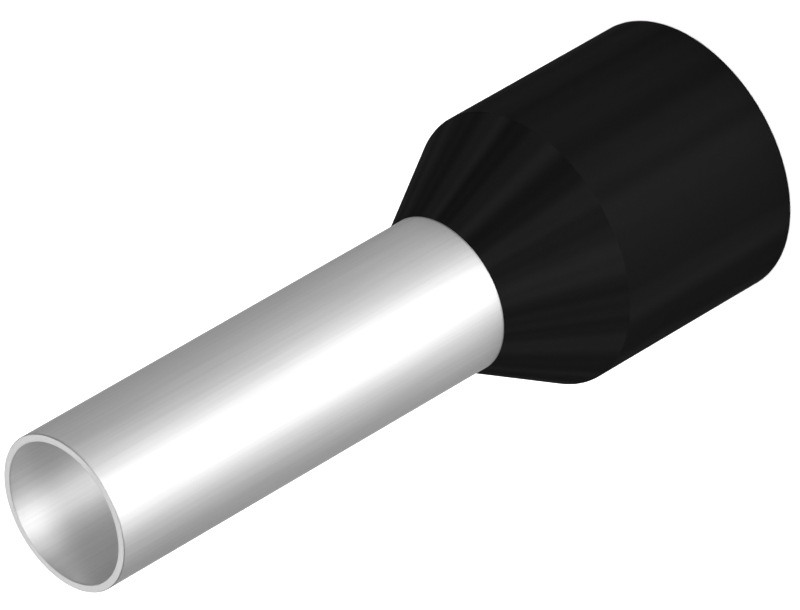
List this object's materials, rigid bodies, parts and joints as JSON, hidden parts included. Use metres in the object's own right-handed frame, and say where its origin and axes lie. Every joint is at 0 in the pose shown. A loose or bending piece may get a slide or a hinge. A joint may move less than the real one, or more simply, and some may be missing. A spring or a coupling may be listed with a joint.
{
  "type": "wire ferrule",
  "caption": "Insulated wire ferrule: a thin tin-plated metal sleeve, flared inside a black plastic collar with a cone, crimped on a stripped stranded wire.",
  "frame": {"origin": "centre of the collar's open mouth, on the surface that the part stands on", "axes": "+Z runs along the axis from the mouth to the tip of the metal sleeve; the part is round, so X and Y are free"},
  "size_m": [0.0068, 0.0068, 0.02],
  "materials": {
    "tinned_copper": "satin",
    "black_polypropylene": "satin"
  },
  "bodies": {
    "root": {"metal_sleeve": "tinned_copper", "plastic_collar": "black_polypropylene"}
  },
  "joints": []
}
